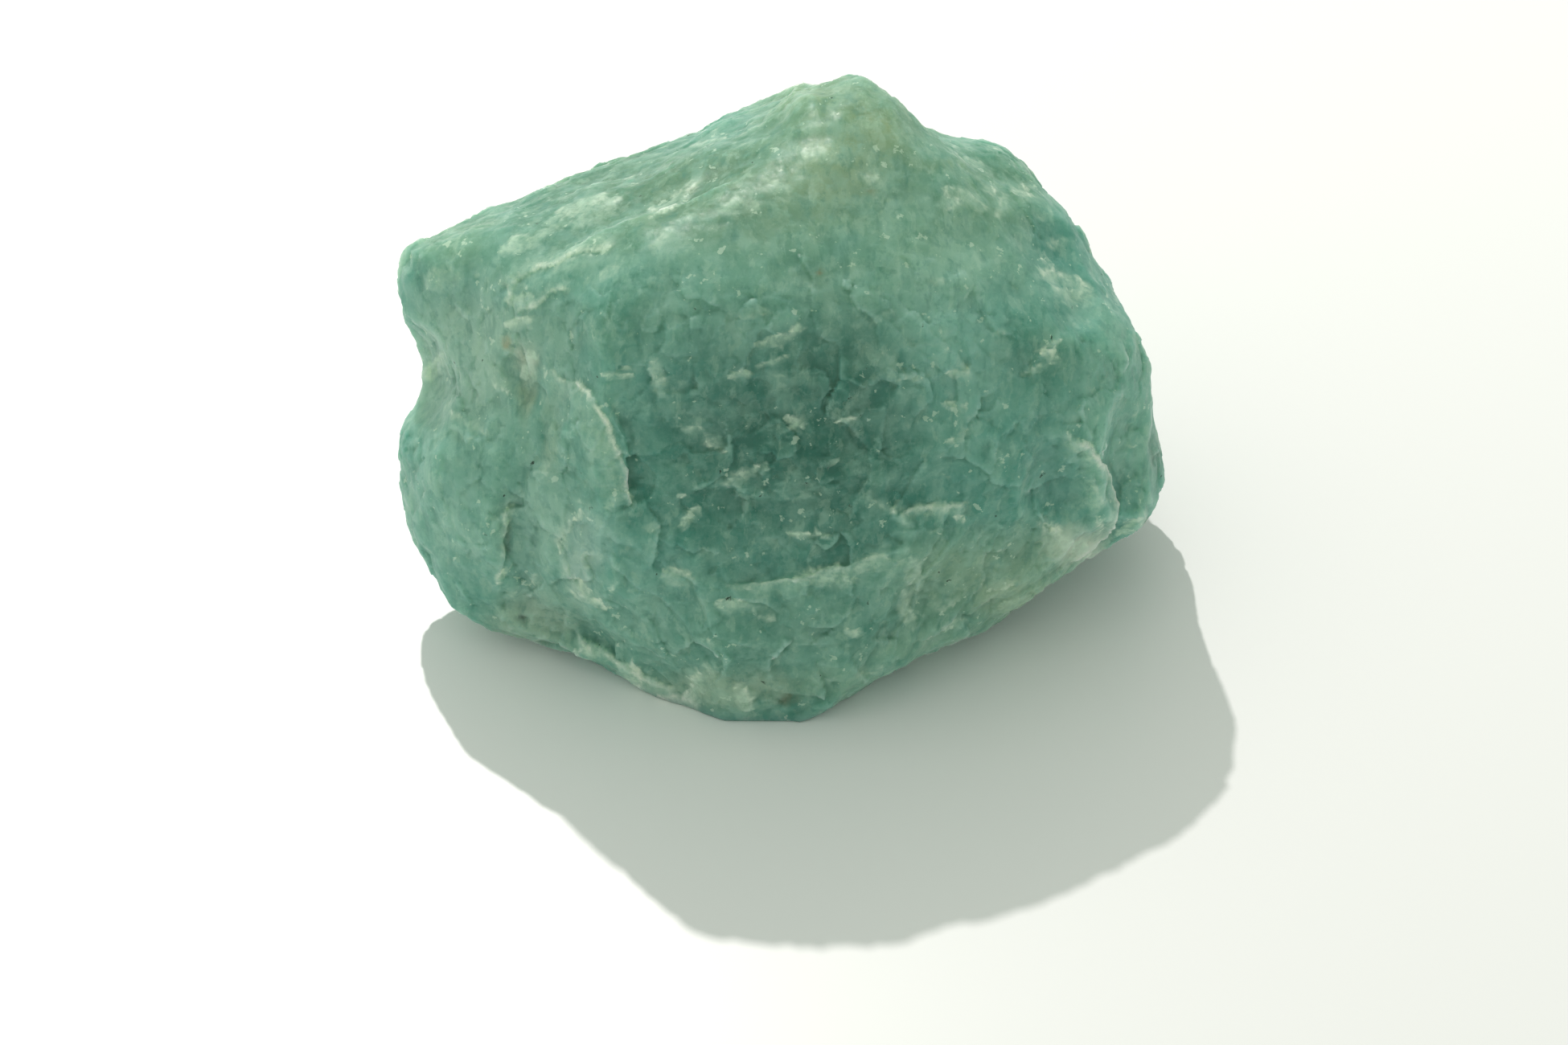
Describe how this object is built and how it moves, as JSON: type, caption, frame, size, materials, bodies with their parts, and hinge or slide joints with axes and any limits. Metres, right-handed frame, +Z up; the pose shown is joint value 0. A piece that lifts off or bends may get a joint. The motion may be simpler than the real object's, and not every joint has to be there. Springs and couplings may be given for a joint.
{
  "type": "rough amazonite stone",
  "caption": "Rough, broken lump of green amazonite feldspar with cleavage faces, a flaked hollow, stepped ledges and chipped edges, resting on a small flat.",
  "frame": {"origin": "bottom centre of the bounding box, on the plane of the resting flat", "axes": "+Z up, +X along the length of the broad cleavage face, and the broad face looks towards -Y"},
  "size_m": [0.0466, 0.0316, 0.0304],
  "materials": {
    "amazonite": "waxy, rough-broken"
  },
  "bodies": {
    "root": {"amazonite": "amazonite"}
  },
  "joints": []
}
